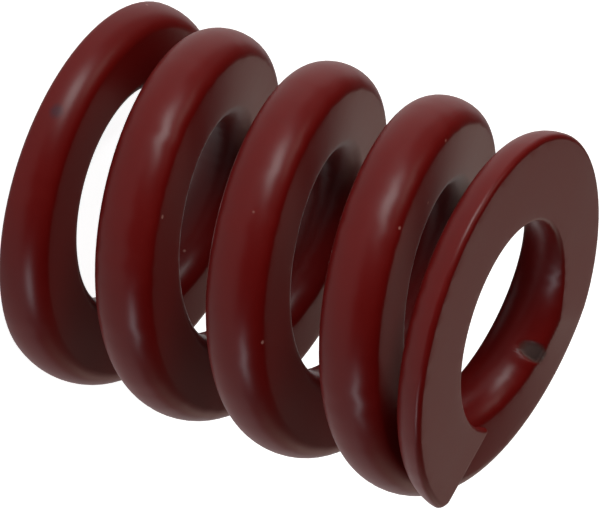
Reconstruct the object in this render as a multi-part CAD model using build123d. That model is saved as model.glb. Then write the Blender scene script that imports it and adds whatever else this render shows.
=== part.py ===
"""A die spring: one profiled wire, coiled right-handed, closed and ground flat at both ends.

The spring stands on its lower ground face, with its axis on Z and its upper tip towards +X.
Lengths are in millimetres. Places along the wire are in turns, counted from the lower tip.
"""
import math
import os
from dataclasses import dataclass

from build123d import *

# The spring
outer_diameter = 31.4          # slides in a 32 mm pocket
free_length = 38.1             # over the two ground faces
total_turns = 4.64             # from tip to tip
sections_per_turn = 12         # that the wire is lofted through

# The wire
wire_width = 7.15              # across the spring's radius
wire_thickness = 5.16          # along the spring's axis
outer_crown = 1.7              # how far the outer end bulges past the flat flanks
inner_crown = 1.6              # the same at the inner end


@dataclass
class ClosedEnd:
    """How the wire leaves a tip: nearly level at first, then it opens to the coils' pitch."""
    tip_thickness: float       # what grinding leaves of the wire at the tip
    pitch: float               # the little that the wire rises while it is closed
    closed_turns: float        # length of the closed stretch
    opening_turns: float       # over which the rise grows to that of the open coils


# The ends
top_end = ClosedEnd(tip_thickness=2.62, pitch=0.3, closed_turns=0.258, opening_turns=0.467)
bottom_end = ClosedEnd(tip_thickness=2.78, pitch=1.27, closed_turns=0.17, opening_turns=0.6)
top_draw_in = 0.26             # the top coil is this much tighter, half a turn from its tip
bottom_flare = 0.47            # the lower tip stands out by this much
bottom_flare_turns = 0.5

# The sheared tips
shear_angle = 29.5             # of the cut, away from square across the wire
shear_turns = 0.15             # the sections turn into the cut over this much of the wire
tip_corner_radius = 0.9

# The grinding
rim_radius = 0.4               # rounding of the ground faces' outer rims
sink_width = 0.4               # countersink of the bore's two mouths
sink_depth = 0.35

# The mark where a hook held the spring while it was painted
hook_radius = 0.9
hook_mark_depth = 0.3
hook_mark_turns = 0.783        # from the upper tip
hook_mark_angle = 60.0         # round the wire's inner crown, up from its innermost line

outer_radius = outer_diameter / 2
inner_radius = outer_radius - wire_width
mean_radius = outer_radius - wire_width / 2
half_thickness = wire_thickness / 2


def eased(x):
    """Integral of the smooth step 3x^2 - 2x^3, which runs on straight after x = 1."""
    if x <= 0:
        return 0.0
    if x >= 1:
        return x - 0.5
    return x ** 3 - x ** 4 / 2


def opened(turns, end):
    """The share of these turns, counted from a tip, that rises at the open coils' pitch."""
    return end.opening_turns * eased((turns - end.closed_turns) / end.opening_turns)


def open_pitch():
    """The pitch of the open coils that gives the spring its free length."""
    left_to_rise = free_length + wire_thickness
    open_turns = 0
    for end in (top_end, bottom_end):
        share = opened(total_turns / 2, end)
        open_turns += share
        left_to_rise -= end.tip_thickness + end.pitch * (total_turns / 2 - share)
    return left_to_rise / open_turns


pitch = open_pitch()


def rise(turns, end):
    """Height that the wire gains over this many turns from a tip."""
    return end.pitch * turns + (pitch - end.pitch) * opened(turns, end)


def wire_height(turns):
    """Height of the wire's centre."""
    if turns < total_turns / 2:
        return bottom_end.tip_thickness - half_thickness + rise(turns, bottom_end)
    below_top = top_end.tip_thickness - half_thickness + rise(total_turns - turns, top_end)
    return free_length - below_top


def coil_radius(turns):
    """Radius of the wire's centre line, which wanders a little at the ends."""
    flared = math.cos(math.pi / 2 * min(turns / bottom_flare_turns, 1)) ** 2
    drawn = math.sin(math.pi * min(total_turns - turns, 1)) ** 2
    return mean_radius + bottom_flare * flared - top_draw_in * drawn


def direction(degrees):
    """A horizontal unit vector at this angle from +X."""
    angle = math.radians(degrees)
    return Vector(math.cos(angle), math.sin(angle), 0)


def wire_centre(turns):
    """Centre of the wire's section. The upper tip is at angle 0."""
    outwards = direction(360 * (turns - total_turns))
    return outwards * coil_radius(turns) + Vector(0, 0, wire_height(turns))


def section_plane(turns):
    """A vertical plane across the wire, radial but for the slanting cut at a tip."""
    to_tip = min(turns, total_turns - turns)
    slant = shear_angle * max(1 - to_tip / shear_turns, 0)
    angle = 360 * (turns - total_turns) - slant
    plane = Plane(wire_centre(turns), x_dir=direction(angle), z_dir=direction(angle + 90))
    return plane, slant


def wire_section(stretch):
    """The wire's outline: flat flanks and two half ellipses. A slanting cut stretches it."""
    outer_x = (wire_width / 2 - outer_crown) * stretch
    inner_x = (inner_crown - wire_width / 2) * stretch
    outer_end = EllipticalCenterArc(
        (outer_x, 0), outer_crown * stretch, half_thickness, -90, arc_size=180
    )
    upper_flank = Line((outer_x, half_thickness), (inner_x, half_thickness))
    inner_end = EllipticalCenterArc(
        (inner_x, 0), inner_crown * stretch, half_thickness, 90, arc_size=180
    )
    lower_flank = Line((inner_x, -half_thickness), (outer_x, -half_thickness))
    return make_face(Wire([outer_end, upper_flank, inner_end, lower_flank]))


def coiled_wire():
    """The wire as coiled and cut, before its ends are ground."""
    count = round(total_turns * sections_per_turn)
    sections = []
    for i in range(count + 1):
        plane, slant = section_plane(total_turns * i / count)
        sections.append(plane * wire_section(1 / math.cos(math.radians(slant))))
    return loft(sections)


def ground_envelope():
    """All that grinding and deburring leave: a disc with rounded rims and a flared bore."""
    upright = (Align.CENTER, Align.CENTER, Align.MIN)
    disc = Cylinder(outer_radius + bottom_flare, free_length, align=upright)
    disc = fillet(disc.edges().filter_by(GeomType.CIRCLE), rim_radius + bottom_flare)
    flare = Cone(inner_radius + sink_width, inner_radius - sink_width, 2 * sink_depth, align=upright)
    upper_flare = Pos(0, 0, free_length) * Rot(180, 0, 0) * flare
    return disc - flare - upper_flare


def tip_corner():
    """The cutter that rounds the outer corner of the upper tip."""
    plane, slant = section_plane(total_turns)
    along, beyond = plane.x_dir, plane.z_dir
    start = Vector(plane.origin.X, plane.origin.Y, 0) - beyond * tip_corner_radius
    # the rounding's centre lies where it touches the outer wall as well as the cut
    reach = outer_radius - tip_corner_radius
    run = start.dot(along)
    centre = start + along * (math.sqrt(run ** 2 + reach ** 2 - start.dot(start)) - run)
    outwards = centre.normalized()
    size = 2 * tip_corner_radius
    outline = Polyline(
        centre, centre + beyond * size, centre + (beyond + outwards) * size,
        centre + outwards * size, close=True,
    )
    corner = make_face(outline) - Pos(centre) * Circle(tip_corner_radius)
    neighbour_gap = rise(1, top_end) - wire_thickness
    height = top_end.tip_thickness + neighbour_gap / 2
    return Pos(0, 0, free_length - height) * extrude(corner, 2 * height, dir=(0, 0, 1))


def hook_mark():
    """The rod that pressed a shallow mark into the shoulder of the top coil's inner crown."""
    turns = total_turns - hook_mark_turns
    centre = wire_centre(turns)
    outwards = direction(360 * (turns - total_turns))
    up = Vector(0, 0, 1)
    angle = math.radians(hook_mark_angle)
    across = inner_crown * math.cos(angle)
    above = half_thickness * math.sin(angle)
    surface = centre + outwards * (inner_crown - wire_width / 2 - across) + up * above
    normal = (up * (above / half_thickness ** 2) - outwards * (across / inner_crown ** 2)).normalized()
    middle = surface + normal * (hook_radius - hook_mark_depth)
    rod_axis = normal.cross(outwards.cross(up))
    return Plane(middle, z_dir=rod_axis) * Cylinder(hook_radius, 4 * hook_radius)


def die_spring():
    spring = coiled_wire() & ground_envelope()
    return spring - tip_corner() - hook_mark()


os.makedirs("parts", exist_ok=True)
spring = die_spring()
export_step(spring, "parts/die_spring.step")
print(f"open coils rise {pitch:.2f} mm a turn; volume {spring.volume:.0f} mm3")
print(f"closed gaps {rise(1, top_end) - wire_thickness:.2f} mm at the top, "
      f"{rise(1, bottom_end) - wire_thickness:.2f} mm at the bottom")
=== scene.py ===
import math

import bmesh
import bpy
from mathutils import Matrix, Vector


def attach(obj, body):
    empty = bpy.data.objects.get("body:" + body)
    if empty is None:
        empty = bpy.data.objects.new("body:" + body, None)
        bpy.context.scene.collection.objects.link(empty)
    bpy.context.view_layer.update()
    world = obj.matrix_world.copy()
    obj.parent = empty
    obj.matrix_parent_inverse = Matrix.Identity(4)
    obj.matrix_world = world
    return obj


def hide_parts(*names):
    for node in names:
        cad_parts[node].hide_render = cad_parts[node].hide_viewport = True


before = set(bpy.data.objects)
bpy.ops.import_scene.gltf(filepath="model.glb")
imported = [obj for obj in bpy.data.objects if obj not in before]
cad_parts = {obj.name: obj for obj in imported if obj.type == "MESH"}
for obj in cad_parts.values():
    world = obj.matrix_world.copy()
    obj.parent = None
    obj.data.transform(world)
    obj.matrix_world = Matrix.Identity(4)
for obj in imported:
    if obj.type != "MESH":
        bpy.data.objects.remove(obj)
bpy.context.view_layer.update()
millimetre = 0.001
fullTurn = 2 * math.pi

# ---- the spring's shape: the solid's values, apart from the bottom flare, the rims and the tips' roundings

springShape = {
    "outerRadius": 15.7,
    "freeLength": 38.1,
    "turns": 4.64,
    "wireWidth": 7.15,
    "wireThickness": 5.16,
    "outerCrown": 1.7,        # bulge of the outer end past the flat flanks
    "innerCrown": 1.6,
    "topEnd": {"tip": 2.62, "pitch": 0.3, "closed": 0.258, "opening": 0.467},
    "bottomEnd": {"tip": 2.78, "pitch": 1.27, "closed": 0.17, "opening": 0.6},
    "topDrawIn": 0.26,
    "bottomFlare": 0.445,     # a little under the solid's
    "flareTurns": 0.5,
    "shearAngle": 29.5,
    "shearTurns": 0.15,
    "outerRim": 0.48,         # rounding of the ground faces' rims
    "innerRim": 0.4,
    "tipEdge": 0.22,          # rounding round the sheared faces
    "tipCorner": 0.9,         # and at their outer corner
}

meshFineness = {
    "stepsPerTurn": 96,
    "sidePoints": 30,         # over each crown
    "flatPoints": 6,          # over each flank
    "markSteps": 420,         # steps a turn beside the hook mark
    "markReach": 0.05,        # in turns, to each side
    "markGap": 0.002,         # in turns, kept free where the finer steps begin
    "tipReach": 1.3,          # along the wire, where a tip has its own steps
    "cornerSteps": 9,         # over the tip's rounded corner
    "edgeSteps": 4,           # and over its rounded edge
}

hookMark = {
    "turnsFromTop": 0.783,
    "angle": 58.0,            # up from the wire's innermost line
    "halfLength": 0.72,       # along the wire
    "halfWidth": 1.3,         # round its crown
    "depth": 0.2,
    "wallTop": 1.15,          # where its wall begins, in half sizes
    "wallWidth": 0.3,         # from there in to its floor
    "reach": 3.5,             # nothing farther off is moved
    "facing": 0.2,            # nor a point whose normal has a smaller cosine to the mark's
    "flankFade": 0.08,        # starts where a normal's height is this near to 1, gone at 1
    "lip": 0.07,              # paint that ran up against the hook
    "lipPlace": 0.5,          # its crest, past the mark's edge in half lengths
    "lipWidth": 0.42,
    "lipTowards": (-0.9, 0.4),        # along the wire and round its crown
}


def eased(x):
    if x <= 0:
        return 0.0
    return x - 0.5 if x >= 1 else x ** 3 - x ** 4 / 2


def openShare(turns, end):
    return end["opening"] * eased((turns - end["closed"]) / end["opening"])


def openPitch(shape):
    half = shape["turns"] / 2
    toRise = shape["freeLength"] + shape["wireThickness"]
    openTurns = 0
    for end in (shape["topEnd"], shape["bottomEnd"]):
        share = openShare(half, end)
        openTurns += share
        toRise -= end["tip"] + end["pitch"] * (half - share)
    return toRise / openTurns


def toGround(shape, turns, end):
    # from an end's ground face to the wire's centre, this many turns from the tip
    rise = end["pitch"] * turns + (openPitch(shape) - end["pitch"]) * openShare(turns, end)
    return end["tip"] - shape["wireThickness"] / 2 + rise


def wireHeight(shape, turns):
    if turns < shape["turns"] / 2:
        return toGround(shape, turns, shape["bottomEnd"])
    return shape["freeLength"] - toGround(shape, shape["turns"] - turns, shape["topEnd"])


def coilRadius(shape, turns):
    flared = math.cos(math.pi / 2 * min(turns / shape["flareTurns"], 1)) ** 2
    drawn = math.sin(math.pi * min(shape["turns"] - turns, 1)) ** 2
    middle = shape["outerRadius"] - shape["wireWidth"] / 2
    return middle + shape["bottomFlare"] * flared - shape["topDrawIn"] * drawn


def outwards(degrees):
    return Vector((math.cos(math.radians(degrees)), math.sin(math.radians(degrees)), 0))


def wireCentre(shape, turns):
    out = outwards(360 * (turns - shape["turns"])) * coilRadius(shape, turns)
    return out + Vector((0, 0, wireHeight(shape, turns)))


def crownPoint(crown, half, angle):
    # the point of a half ellipse whose normal stands at this angle
    across, up = crown * math.cos(angle), half * math.sin(angle)
    size = math.hypot(across, up)
    return crown * across / size, half * up / size


def rimStart(crown, half, cut, radius):
    # the normal's angle where a rounding of this radius leaves the crown for the ground face
    low, high = -math.pi / 2, math.pi / 2
    for _ in range(40):
        angle = (low + high) / 2
        if crownPoint(crown, half, angle)[1] - radius * math.sin(angle) < cut - radius:
            low = angle
        else:
            high = angle
    return low


def crownSide(crown, half, cutAbove, cutBelow, radius, count):
    # one rounded side of the wire, from its lower flank to its upper one
    above = rimStart(crown, half, cutAbove, radius) if cutAbove < half else math.pi
    below = rimStart(crown, half, cutBelow, radius) if cutBelow < half else math.pi
    points = []
    for i in range(count + 1):
        angle = math.pi * (i / count - 0.5)
        if angle > above:
            start = crownPoint(crown, half, above)
            middle = start[0] - radius * math.cos(above)
            point = (middle + radius * math.cos(angle), cutAbove - radius + radius * math.sin(angle))
        elif -angle > below:
            start = crownPoint(crown, half, below)
            middle = start[0] - radius * math.cos(below)
            point = (middle + radius * math.cos(angle), radius - cutBelow + radius * math.sin(angle))
        else:
            point = crownPoint(crown, half, angle)
        points.append(point)
    return points


def tipRounding(radius, distance):
    # how far a rounded edge has drawn in at this distance before the tip's face
    if distance >= radius:
        return 0.0
    return radius - math.sqrt(radius ** 2 - (radius - distance) ** 2)


def wireOutline(shape, fineness, turns):
    # the section there, ground ends and rounded tips included, as (outward, up) from the wire's centre
    half = shape["wireThickness"] / 2
    height = wireHeight(shape, turns)
    cuts = (shape["freeLength"] - height, height)
    count, flats = fineness["sidePoints"], fineness["flatPoints"]
    outer = crownSide(shape["outerCrown"], half, *cuts, shape["outerRim"], count)
    inner = crownSide(shape["innerCrown"], half, *cuts, shape["innerRim"], count)
    toTip = min(turns, shape["turns"] - turns) * fullTurn * coilRadius(shape, turns)
    edge = tipRounding(shape["tipEdge"], toTip)
    corner = tipRounding(shape["tipCorner"], toTip)
    outerBase = shape["wireWidth"] / 2 - shape["outerCrown"] - corner
    innerBase = shape["wireWidth"] / 2 - shape["innerCrown"] - edge
    top, bottom = min(cuts[0], half), -min(cuts[1], half)
    squash = 1 - 2 * edge / (top - bottom)

    def squashed(up):
        return (top + bottom) / 2 + (up - (top + bottom) / 2) * squash

    def flank(start, end, up):
        return [(start[0] + (end[0] - start[0]) * i / flats, squashed(up)) for i in range(1, flats)]

    right = [(outerBase + x, squashed(y)) for x, y in outer]
    left = [(-innerBase - x, squashed(y)) for x, y in reversed(inner)]
    return right + flank(right[-1], left[0], top) + left + flank(left[-1], right[0], bottom)


def wireStations(shape, fineness, mark):
    # where along the wire the sections stand: closer together at the tips and the hook mark
    turns = shape["turns"]
    around = fullTurn * (shape["outerRadius"] - shape["wireWidth"] / 2)
    steps = round(turns * fineness["stepsPerTurn"])
    stations = {turns * i / steps for i in range(steps + 1)}
    markTurns = turns - mark["turnsFromTop"]
    reach = fineness["markReach"]
    markSteps = round(2 * reach * fineness["markSteps"])
    stations = {t for t in stations if abs(t - markTurns) > reach + fineness["markGap"]}
    stations |= {markTurns + reach * (2 * i / markSteps - 1) for i in range(markSteps + 1)}
    stations = {t for t in stations
                if min(t, turns - t) == 0 or min(t, turns - t) * around > fineness["tipReach"]}
    corner, edge = fineness["cornerSteps"], fineness["edgeSteps"]
    nearTip = [shape["tipCorner"] * (1 - math.cos(math.pi / 2 * i / corner)) for i in range(1, corner + 1)]
    nearTip += [shape["tipEdge"] * (1 - math.cos(math.pi / 2 * i / edge)) for i in range(1, edge)]
    for distance in nearTip:
        stations |= {distance / around, turns - distance / around}
    return sorted(stations)


def placeSection(shape, fineness, verts, turns):
    toTip = min(turns, shape["turns"] - turns)
    slant = shape["shearAngle"] * max(1 - toTip / shape["shearTurns"], 0)
    across = outwards(360 * (turns - shape["turns"]) - slant) / math.cos(math.radians(slant))
    centre = wireCentre(shape, turns)
    for vert, (out, up) in zip(verts, wireOutline(shape, fineness, turns)):
        vert.co = centre + across * out + Vector((0, 0, up))


def markFrame(shape, mark):
    turns = shape["turns"] - mark["turnsFromTop"]
    out, up = outwards(-360 * mark["turnsFromTop"]), Vector((0, 0, 1))
    crown, half = shape["innerCrown"], shape["wireThickness"] / 2
    angle = math.radians(mark["angle"])
    inward, above = crown * math.cos(angle), half * math.sin(angle)
    place = wireCentre(shape, turns) - out * (shape["wireWidth"] / 2 - crown + inward) + up * above
    normal = (up * above / half ** 2 - out * inward / crown ** 2).normalized()
    along = up.cross(out).normalized()
    return place, normal, along, normal.cross(along)


def pressHookMark(bm, shape, mark):
    place, normal, along, across = markFrame(shape, mark)
    lipAlong, lipAcross = mark["lipTowards"]
    for vert in bm.verts:
        offset = vert.co - place
        if offset.length > mark["reach"] or vert.normal.dot(normal) < mark["facing"]:
            continue
        x, y = offset.dot(along), offset.dot(across)
        ring = math.hypot(x / mark["halfLength"], y / mark["halfWidth"])
        inside = min(max((mark["wallTop"] - ring) / mark["wallWidth"], 0), 1)
        sunk = inside * inside * (3 - 2 * inside)
        past = (ring - 1) * mark["halfLength"] - mark["lipPlace"] * mark["halfLength"]
        lip = math.exp(-(past / mark["lipWidth"]) ** 2) * (1 - sunk)
        lip *= max(x * lipAlong + y * lipAcross, 0) / max(math.hypot(x, y), 0.01)
        offFlank = min(max((1 - vert.normal.z) / mark["flankFade"], 0), 1)
        vert.co += normal * (mark["lip"] * lip - mark["depth"] * sunk) * offFlank


def unrollWire(bm, shape, sections, stations):
    # a UV map that follows the wire: u along it and v round it, both in millimetres
    length = fullTurn * (shape["outerRadius"] - shape["wireWidth"] / 2)
    cornersLess = 3.0         # what the crowns take off a square section's girth
    girth = 2 * (shape["wireWidth"] + shape["wireThickness"]) - cornersLess
    layer = bm.loops.layers.uv.new("alongWire")
    place = {vert: (turns * length, i)
             for verts, turns in zip(sections, stations) for i, vert in enumerate(verts)}
    points = len(sections[0])
    for face in bm.faces:
        for loop in face.loops:
            along, i = place[loop.vert]
            if i == 0 and any(place[v][1] == points - 1 for v in face.verts):
                i = points
            loop[layer].uv = (along, girth * i / points)


def windWire(shape, fineness, mark):
    bm = bmesh.new()
    points = 2 * fineness["sidePoints"] + 2 * fineness["flatPoints"]
    made = bmesh.ops.create_circle(bm, segments=points, radius=1)
    ring = made["verts"] + list(bm.edges)
    bmesh.ops.transform(bm, matrix=Matrix.Rotation(math.pi / 2, 4, "X"), verts=made["verts"])
    bmesh.ops.translate(bm, vec=(shape["outerRadius"], 0, 0), verts=made["verts"])
    sections = [sorted(made["verts"], key=lambda v: math.atan2(v.co.z, v.co.x - shape["outerRadius"]))]
    stations = wireStations(shape, fineness, mark)
    for before, turns in zip(stations, stations[1:]):
        climb = wireHeight(shape, turns) - wireHeight(shape, before)
        spun = bmesh.ops.spin(bm, geom=ring, cent=(0, 0, 0), axis=(0, 0, 1), dvec=(0, 0, climb),
                              angle=fullTurn * (turns - before), steps=1, use_duplicate=False)
        ring = spun["geom_last"]
        verts = [item for item in ring if isinstance(item, bmesh.types.BMVert)]
        centre = sum((v.co for v in verts), Vector()) / points
        out = Vector((centre.x, centre.y, 0)).normalized()
        verts.sort(key=lambda v: math.atan2(v.co.z - centre.z, (v.co - centre).dot(out)))
        sections.append(verts)
    for verts, turns in zip(sections, stations):
        placeSection(shape, fineness, verts, turns)
    unrollWire(bm, shape, sections, stations)
    bmesh.ops.holes_fill(bm, edges=[e for e in bm.edges if e.is_boundary], sides=0)
    bmesh.ops.recalc_face_normals(bm, faces=bm.faces)
    bm.normal_update()
    pressHookMark(bm, shape, mark)
    bmesh.ops.scale(bm, vec=(millimetre,) * 3, verts=bm.verts)
    return bm


def finishPiece(bm, name, material):
    mesh = bpy.data.meshes.new(name)
    for face in bm.faces:
        face.smooth = True
    bm.to_mesh(mesh)
    bm.free()
    mesh.materials.append(material)
    piece = bpy.data.objects.new(name, mesh)
    bpy.context.scene.collection.objects.link(piece)
    return piece


# ---- enamel

enamel = {
    "colour": (0.088, 0.0012, 0.0008, 1),
    "deepColour": (0.06, 0.0008, 0.0005, 1),         # where the coat is thick
    "thinColour": (0.118, 0.005, 0.0035, 1),         # where it is thin
    "driftScale": 0.11,       # patches a millimetre
    "driftAmount": 0.35,
    "roughness": 0.6,         # of the pigment under the clear top of the coat
    "roughnessDrift": 0.08,
    "specular": 0.05,
    "gloss": 0.25,            # coat weight
    "glossRoughness": 0.33,
    "peelScale": 1.1,         # orange peel, waves a millimetre
    "peelHeight": 0.001,
    "drawnScale": 2.2,        # lines of the drawn wire under the coat
    "drawnHeight": 0.0004,
    "drawnStretch": 0.05,     # along the wire
    "dustCell": 2.6,          # at most one speck in a cell this wide
    "dustRadius": 0.11,
    "dustShare": 0.1,
    "dustHeight": 0.02,
    "dustColour": (0.26, 0.11, 0.09, 1),
    "specks": [(-4.62, -13.8, 32.32), (-12.12, -7.7, 31.3), (-7.08, -8.73, 31.88), (0.18, -13.63, 12.75),
               (0.42, -13.7, 13.2), (-0.1, -13.66, 12.2), (7.08, -12.5, 23.62)],
    "speckRadius": 0.17,
    "speckSoftness": 0.5,
    "stain": (-5.23, -14.81, 1.65),
    "stainSize": (0.55, 0.55, 0.45),
    "stainSoftness": 0.9,
    "stainColour": (0.045, 0.006, 0.011, 1),
    "spotRaggedness": 0.6,
    "steelColour": (0.052, 0.029, 0.026, 1),         # bare in the hook mark
    "steelRoughness": 0.5,
    "steelMetallic": 0.3,
    "steelSize": (0.85, 0.72),                       # in the mark's half sizes
    "steelEdge": {"Raggedness": 0.5, "Softness": 0.5},
    "bruiseColour": (0.06, 0.019, 0.015, 1),         # thin coat round the bare steel
    "bruiseSize": (1.05, 1.05),
    "bruiseEdge": {"Raggedness": 0.4, "Softness": 0.35},
}


def newGroup(name, inputs, outputs):
    group = bpy.data.node_groups.new(name, "ShaderNodeTree")
    for socketName, kind, value in inputs:
        socket = group.interface.new_socket(socketName, in_out="INPUT", socket_type=kind)
        if value is not None:
            socket.default_value = value
    for socketName, kind in outputs:
        group.interface.new_socket(socketName, in_out="OUTPUT", socket_type=kind)
    return group, group.nodes.new("NodeGroupInput"), group.nodes.new("NodeGroupOutput")


def addMath(tree, operation, first, second, clamp=False):
    node = tree.nodes.new("ShaderNodeMath")
    node.operation, node.use_clamp = operation, clamp
    for socket, value in zip(node.inputs, (first, second)):
        if isinstance(value, (int, float)):
            socket.default_value = value
        else:
            tree.links.new(value, socket)
    return node.outputs[0]


def addNoise(tree, vector, scale, detail):
    node = tree.nodes.new("ShaderNodeTexNoise")
    node.inputs["Detail"].default_value = detail
    tree.links.new(vector, node.inputs["Vector"])
    if isinstance(scale, (int, float)):
        node.inputs["Scale"].default_value = scale
    else:
        tree.links.new(scale, node.inputs["Scale"])
    return node.outputs["Fac"]


def addMix(tree, factor, first, second):
    node = tree.nodes.new("ShaderNodeMix")
    node.data_type = "RGBA"
    for socket, value in ((node.inputs[0], factor), (node.inputs[6], first), (node.inputs[7], second)):
        if isinstance(value, tuple):
            socket.default_value = value
        else:
            tree.links.new(value, socket)
    return node.outputs[2]


def makeCoatDrift():
    # colour and gloss that wander as the thickness of a coat does
    group, given, out = newGroup("coatDrift", [
        ("Vector", "NodeSocketVector", None), ("Scale", "NodeSocketFloat", 1.0),
        ("Amount", "NodeSocketFloat", 0.3), ("Coat", "NodeSocketColor", (0.5, 0.5, 0.5, 1)),
        ("Deep", "NodeSocketColor", (0.2, 0.2, 0.2, 1)), ("Thin", "NodeSocketColor", (0.8, 0.8, 0.8, 1)),
    ], [("Colour", "NodeSocketColor"), ("Drift", "NodeSocketFloat")])
    finer, fineShare, contrast = 9.0, 0.3, 3.0
    broad = addNoise(group, given.outputs["Vector"], given.outputs["Scale"], 3)
    fineScale = addMath(group, "MULTIPLY", given.outputs["Scale"], finer)
    fine = addNoise(group, given.outputs["Vector"], fineScale, 4)
    both = addMath(group, "ADD", addMath(group, "MULTIPLY", broad, 1 - fineShare),
                   addMath(group, "MULTIPLY", fine, fineShare))
    drift = addMath(group, "MULTIPLY", addMath(group, "SUBTRACT", both, 0.5), contrast)
    scaled = addMath(group, "MULTIPLY", drift, given.outputs["Amount"])
    deep = addMath(group, "MULTIPLY", scaled, -1.0, True)
    thin = addMath(group, "MULTIPLY", scaled, 1.0, True)
    deepened = addMix(group, deep, given.outputs["Coat"], given.outputs["Deep"])
    thinned = addMix(group, thin, deepened, given.outputs["Thin"])
    group.links.new(thinned, out.inputs["Colour"])
    group.links.new(drift, out.inputs["Drift"])
    return group


def makeDust():
    # round specks, at most one in a cell, in a share of the cells
    group, given, out = newGroup("dustSpecks", [
        ("Vector", "NodeSocketVector", None), ("Cell", "NodeSocketFloat", 1.0),
        ("Radius", "NodeSocketFloat", 0.1), ("Share", "NodeSocketFloat", 0.3),
    ], [("Mask", "NodeSocketFloat")])
    cells = group.nodes.new("ShaderNodeTexVoronoi")
    group.links.new(given.outputs["Vector"], cells.inputs["Vector"])
    group.links.new(addMath(group, "DIVIDE", 1.0, given.outputs["Cell"]), cells.inputs["Scale"])
    distance = addMath(group, "MULTIPLY", cells.outputs["Distance"], given.outputs["Cell"])
    edge = addMath(group, "DIVIDE", distance, given.outputs["Radius"])
    disc = addMath(group, "SUBTRACT", 1.5, edge, True)        # whole to half a radius, gone at 1.5
    chance = group.nodes.new("ShaderNodeSeparateColor")
    group.links.new(cells.outputs["Color"], chance.inputs[0])
    kept = addMath(group, "LESS_THAN", chance.outputs[0], given.outputs["Share"])
    group.links.new(addMath(group, "MULTIPLY", disc, kept), out.inputs["Mask"])
    return group


def makeOvalSpot():
    # an oval round the origin of its vector, with a ragged and soft edge
    group, given, out = newGroup("ovalSpot", [
        ("Vector", "NodeSocketVector", None), ("Half Sizes", "NodeSocketVector", (1, 1, 1)),
        ("Raggedness", "NodeSocketFloat", 0.2), ("Softness", "NodeSocketFloat", 0.1),
    ], [("Mask", "NodeSocketFloat")])
    divide = group.nodes.new("ShaderNodeVectorMath")
    divide.operation = "DIVIDE"
    group.links.new(given.outputs["Vector"], divide.inputs[0])
    group.links.new(given.outputs["Half Sizes"], divide.inputs[1])
    length = group.nodes.new("ShaderNodeVectorMath")
    length.operation = "LENGTH"
    group.links.new(divide.outputs[0], length.inputs[0])
    lobes = 1.6               # waves of the edge in a half size
    wobble = addMath(group, "SUBTRACT", addNoise(group, divide.outputs[0], lobes, 3), 0.5)
    ragged = addMath(group, "MULTIPLY", wobble, given.outputs["Raggedness"])
    edge = addMath(group, "ADD", length.outputs["Value"], ragged)
    inside = addMath(group, "DIVIDE", addMath(group, "SUBTRACT", 1.0, edge), given.outputs["Softness"])
    group.links.new(addMath(group, "ADD", inside, 0.5, True), out.inputs["Mask"])
    return group


def useGroup(tree, group, **values):
    node = tree.nodes.new("ShaderNodeGroup")
    node.node_tree = group
    for name, value in values.items():
        socket = node.inputs[name.replace("_", " ")]
        if isinstance(value, (int, float, tuple)):
            socket.default_value = value
        else:
            tree.links.new(value, socket)
    return node


def spotAt(tree, oval, where, place, halfSizes, raggedness, softness):
    offset = tree.nodes.new("ShaderNodeVectorMath")
    offset.operation = "SUBTRACT"
    offset.inputs[1].default_value = place
    tree.links.new(where, offset.inputs[0])
    spot = useGroup(tree, oval, Vector=offset.outputs[0], Half_Sizes=halfSizes,
                    Raggedness=raggedness, Softness=softness)
    return spot.outputs["Mask"]


def placeInMark(tree, where, shape, mark):
    # coordinates round the mark's floor: along the wire, round its crown and out of it
    place, normal, along, across = markFrame(shape, mark)
    toMark = tree.nodes.new("ShaderNodeMapping")
    toMark.vector_type = "TEXTURE"
    toMark.inputs["Location"].default_value = place - normal * mark["depth"]
    toMark.inputs["Rotation"].default_value = Matrix((along, across, normal)).transposed().to_euler()
    tree.links.new(where, toMark.inputs["Vector"])
    return toMark.outputs[0]


def colourCoat(tree, look, mark, oval, where, inMark, drift, dust):
    # the coat with what lies on it, and the bare steel of the mark: its colour and the steel's mask
    colour = addMix(tree, dust, drift, look["dustColour"])
    for place in look["specks"]:
        speck = spotAt(tree, oval, where, place, (look["speckRadius"],) * 3,
                       look["spotRaggedness"], look["speckSoftness"])
        colour = addMix(tree, speck, colour, look["dustColour"])
    stain = spotAt(tree, oval, where, look["stain"], look["stainSize"],
                   look["spotRaggedness"], look["stainSoftness"])
    colour = addMix(tree, stain, colour, look["stainColour"])
    for part in ("bruise", "steel"):
        lengthShare, widthShare = look[part + "Size"]
        halfSizes = (mark["halfLength"] * lengthShare, mark["halfWidth"] * widthShare, 1.0)
        spot = useGroup(tree, oval, Vector=inMark, Half_Sizes=halfSizes, **look[part + "Edge"])
        mask = spot.outputs["Mask"]
        colour = addMix(tree, mask, colour, look[part + "Colour"])
    return colour, mask


def coatHeight(tree, look, where, dust):
    # orange peel, the drawn wire's lines and the raised specks, in millimetres
    uv = tree.nodes.new("ShaderNodeUVMap")
    uv.uv_map = "alongWire"
    stretch = tree.nodes.new("ShaderNodeMapping")
    stretch.inputs["Scale"].default_value = (look["drawnStretch"], 1, 1)
    tree.links.new(uv.outputs["UV"], stretch.inputs["Vector"])
    peel = addNoise(tree, where, look["peelScale"], 2)
    drawn = addNoise(tree, stretch.outputs[0], look["drawnScale"], 2)
    waves = addMath(tree, "ADD", addMath(tree, "MULTIPLY", peel, look["peelHeight"]),
                    addMath(tree, "MULTIPLY", drawn, look["drawnHeight"]))
    return addMath(tree, "ADD", waves, addMath(tree, "MULTIPLY", dust, look["dustHeight"]))


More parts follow.
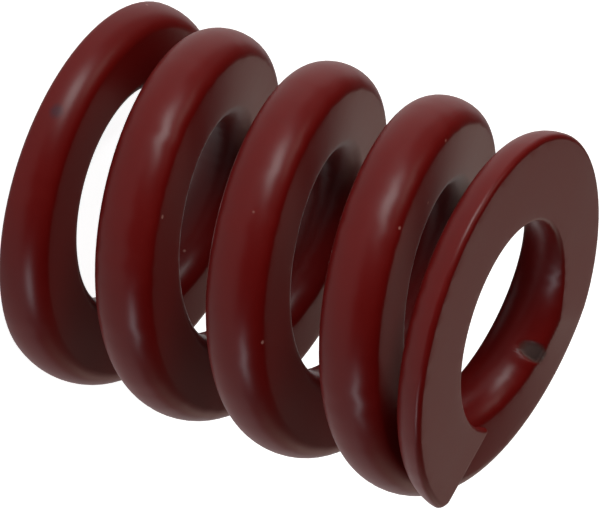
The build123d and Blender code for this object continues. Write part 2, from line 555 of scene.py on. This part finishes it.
def makeEnamel(look, shape, mark):
    material = bpy.data.materials.new("redEnamel")
    material.use_nodes = True
    tree = material.node_tree
    shader = tree.nodes["Principled BSDF"]
    shader.inputs["Specular IOR Level"].default_value = look["specular"]
    shader.inputs["Coat Weight"].default_value = look["gloss"]
    shader.inputs["Coat Roughness"].default_value = look["glossRoughness"]
    coordinates = tree.nodes.new("ShaderNodeTexCoord")
    inMillimetres = tree.nodes.new("ShaderNodeMapping")
    inMillimetres.inputs["Scale"].default_value = (1 / millimetre,) * 3
    tree.links.new(coordinates.outputs["Object"], inMillimetres.inputs["Vector"])
    where = inMillimetres.outputs[0]
    inMark = placeInMark(tree, where, shape, mark)

    drift = useGroup(tree, makeCoatDrift(), Vector=where, Scale=look["driftScale"],
                     Amount=look["driftAmount"], Coat=look["colour"], Deep=look["deepColour"],
                     Thin=look["thinColour"])
    dust = useGroup(tree, makeDust(), Vector=where, Cell=look["dustCell"], Radius=look["dustRadius"],
                    Share=look["dustShare"]).outputs["Mask"]
    colour, bare = colourCoat(tree, look, mark, makeOvalSpot(), where, inMark, drift.outputs["Colour"], dust)
    tree.links.new(colour, shader.inputs["Base Color"])
    metallic = addMath(tree, "MULTIPLY", bare, look["steelMetallic"])
    tree.links.new(metallic, shader.inputs["Metallic"])
    wander = addMath(tree, "MULTIPLY", drift.outputs["Drift"], look["roughnessDrift"])
    coated = addMath(tree, "ADD", wander, look["roughness"])
    change = addMath(tree, "MULTIPLY", bare, look["steelRoughness"] - look["roughness"])
    tree.links.new(addMath(tree, "ADD", coated, change), shader.inputs["Roughness"])

    bump = tree.nodes.new("ShaderNodeBump")
    bump.inputs["Distance"].default_value = millimetre
    tree.links.new(coatHeight(tree, look, where, dust), bump.inputs["Height"])
    tree.links.new(bump.outputs["Normal"], shader.inputs["Normal"])
    return material


coil = finishPiece(windWire(springShape, meshFineness, hookMark), "springWire",
                   makeEnamel(enamel, springShape, hookMark))
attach(coil, "root")
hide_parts("die_spring")
print("spring wound:", len(coil.data.polygons), "faces")

# ---- floor, light and camera

studio = {
    "floorHalfSide": 3000.0,
    "floorDrop": 0.05,        # below the spring's foot
    "floorColour": (0.75, 0.75, 0.75, 1),
    "floorRoughness": 0.9,
    "floorSpecular": 0.1,
    "floorGlow": 0.9,         # what the floor adds where it is seen, so that it reads as white
    "worldColour": (1, 0.96, 0.92, 1),
    "worldLevel": 0.03,
    "lampsAim": (0, 0, 19),
    "lamps": [                # power, colour, direction towards the lamp, distance, width and height
        {"name": "keyLamp", "power": 3.3, "colour": (0.96, 1, 1),
         "towards": (-0.747, -0.605, 0.276), "distance": 600, "size": (250, 230)},
        {"name": "keyFoot", "power": 0.2, "colour": (1, 0.97, 1),
         "towards": (-0.86, -0.496, 0.122), "distance": 600, "size": (300, 140)},
        {"name": "highLamp", "power": 0.85, "colour": (1, 0.95, 0.85),
         "towards": (-0.736, -0.103, 0.669), "distance": 700, "size": (300, 260)},
        {"name": "lowLamp", "power": 1.3, "colour": (0.9, 0.93, 1),
         "towards": (0.87, -0.424, 0.25), "distance": 600, "size": (210, 130)},
        {"name": "backLamp", "power": 1.0, "colour": (1, 0.79, 0.7),
         "towards": (0.28, 0.92, 0.26), "distance": 700, "size": (580, 320)},
        {"name": "sideLamp", "power": 0.42, "colour": (1, 0.96, 0.8),
         "towards": (0.783, 0.548, 0.292), "distance": 700, "size": (500, 300)},
        {"name": "farLamp", "power": 0.14, "colour": (0.9, 1, 1),
         "towards": (-0.894, 0.398, 0.208), "distance": 700, "size": (500, 250)},
    ],
}

cameraPlace = {
    "azimuth": -1.379,        # from the front, towards +X
    "elevation": 23.85,
    "roll": 107.884,
    "distance": 395.65,
    "target": (0.008, -0.082, 18.865),
    "lens": 296.23,
    "clip": (10, 20000),
}


def makeFloor(look):
    bm = bmesh.new()
    bmesh.ops.create_grid(bm, x_segments=1, y_segments=1, size=look["floorHalfSide"] * millimetre)
    bmesh.ops.translate(bm, vec=(0, 0, -look["floorDrop"] * millimetre), verts=bm.verts)
    material = bpy.data.materials.new("paleFloor")
    material.use_nodes = True
    tree = material.node_tree
    shader = tree.nodes["Principled BSDF"]
    shader.inputs["Base Color"].default_value = look["floorColour"]
    shader.inputs["Roughness"].default_value = look["floorRoughness"]
    shader.inputs["Specular IOR Level"].default_value = look["floorSpecular"]
    shader.inputs["Emission Color"].default_value = (1, 1, 1, 1)
    tree.links.new(seenShare(tree, look["floorGlow"]), shader.inputs["Emission Strength"])
    floor = finishPiece(bm, "floor", material)


def seenShare(tree, level):
    # the level for camera, glossy and transmission rays, and nothing for the light on the object
    path = tree.nodes.new("ShaderNodeLightPath")
    seen = path.outputs["Is Camera Ray"]
    for ray in ("Is Glossy Ray", "Is Transmission Ray"):
        seen = addMath(tree, "MAXIMUM", seen, path.outputs[ray])
    return addMath(tree, "MULTIPLY", seen, level)


def makeLamps(look):
    for lamp in look["lamps"]:
        light = bpy.data.lights.new(lamp["name"], "AREA")
        light.shape = "RECTANGLE"
        light.size, light.size_y = (side * millimetre for side in lamp["size"])
        light.energy, light.color = lamp["power"], lamp["colour"]
        lampObject = bpy.data.objects.new(lamp["name"], light)
        towards = Vector(lamp["towards"]).normalized()
        lampObject.location = (towards * lamp["distance"] + Vector(look["lampsAim"])) * millimetre
        lampObject.rotation_euler = towards.to_track_quat("Z", "Y").to_euler()
        bpy.context.scene.collection.objects.link(lampObject)


def makeWorld(look):
    world = bpy.data.worlds.new("softRoom")
    world.use_nodes = True
    background = world.node_tree.nodes["Background"]
    background.inputs["Color"].default_value = look["worldColour"]
    background.inputs["Strength"].default_value = look["worldLevel"]
    bpy.context.scene.world = world


def makeCamera(place):
    azimuth, elevation = math.radians(place["azimuth"]), math.radians(place["elevation"])
    back = Vector((math.sin(azimuth) * math.cos(elevation),
                   -math.cos(azimuth) * math.cos(elevation), math.sin(elevation)))
    camera = bpy.data.objects.new("camera", bpy.data.cameras.new("camera"))
    camera.data.lens = place["lens"]
    camera.data.clip_start, camera.data.clip_end = (reach * millimetre for reach in place["clip"])
    camera.location = (Vector(place["target"]) + back * place["distance"]) * millimetre
    roll = Matrix.Rotation(math.radians(place["roll"]), 3, "Z")
    camera.rotation_euler = ((-back).to_track_quat("-Z", "Y").to_matrix() @ roll).to_euler()
    bpy.context.scene.collection.objects.link(camera)
    bpy.context.scene.camera = camera


makeFloor(studio)
makeLamps(studio)
makeWorld(studio)
makeCamera(cameraPlace)
bpy.context.scene.view_settings.view_transform = "Standard"
print("studio lit")

bpy.context.view_layer.update()
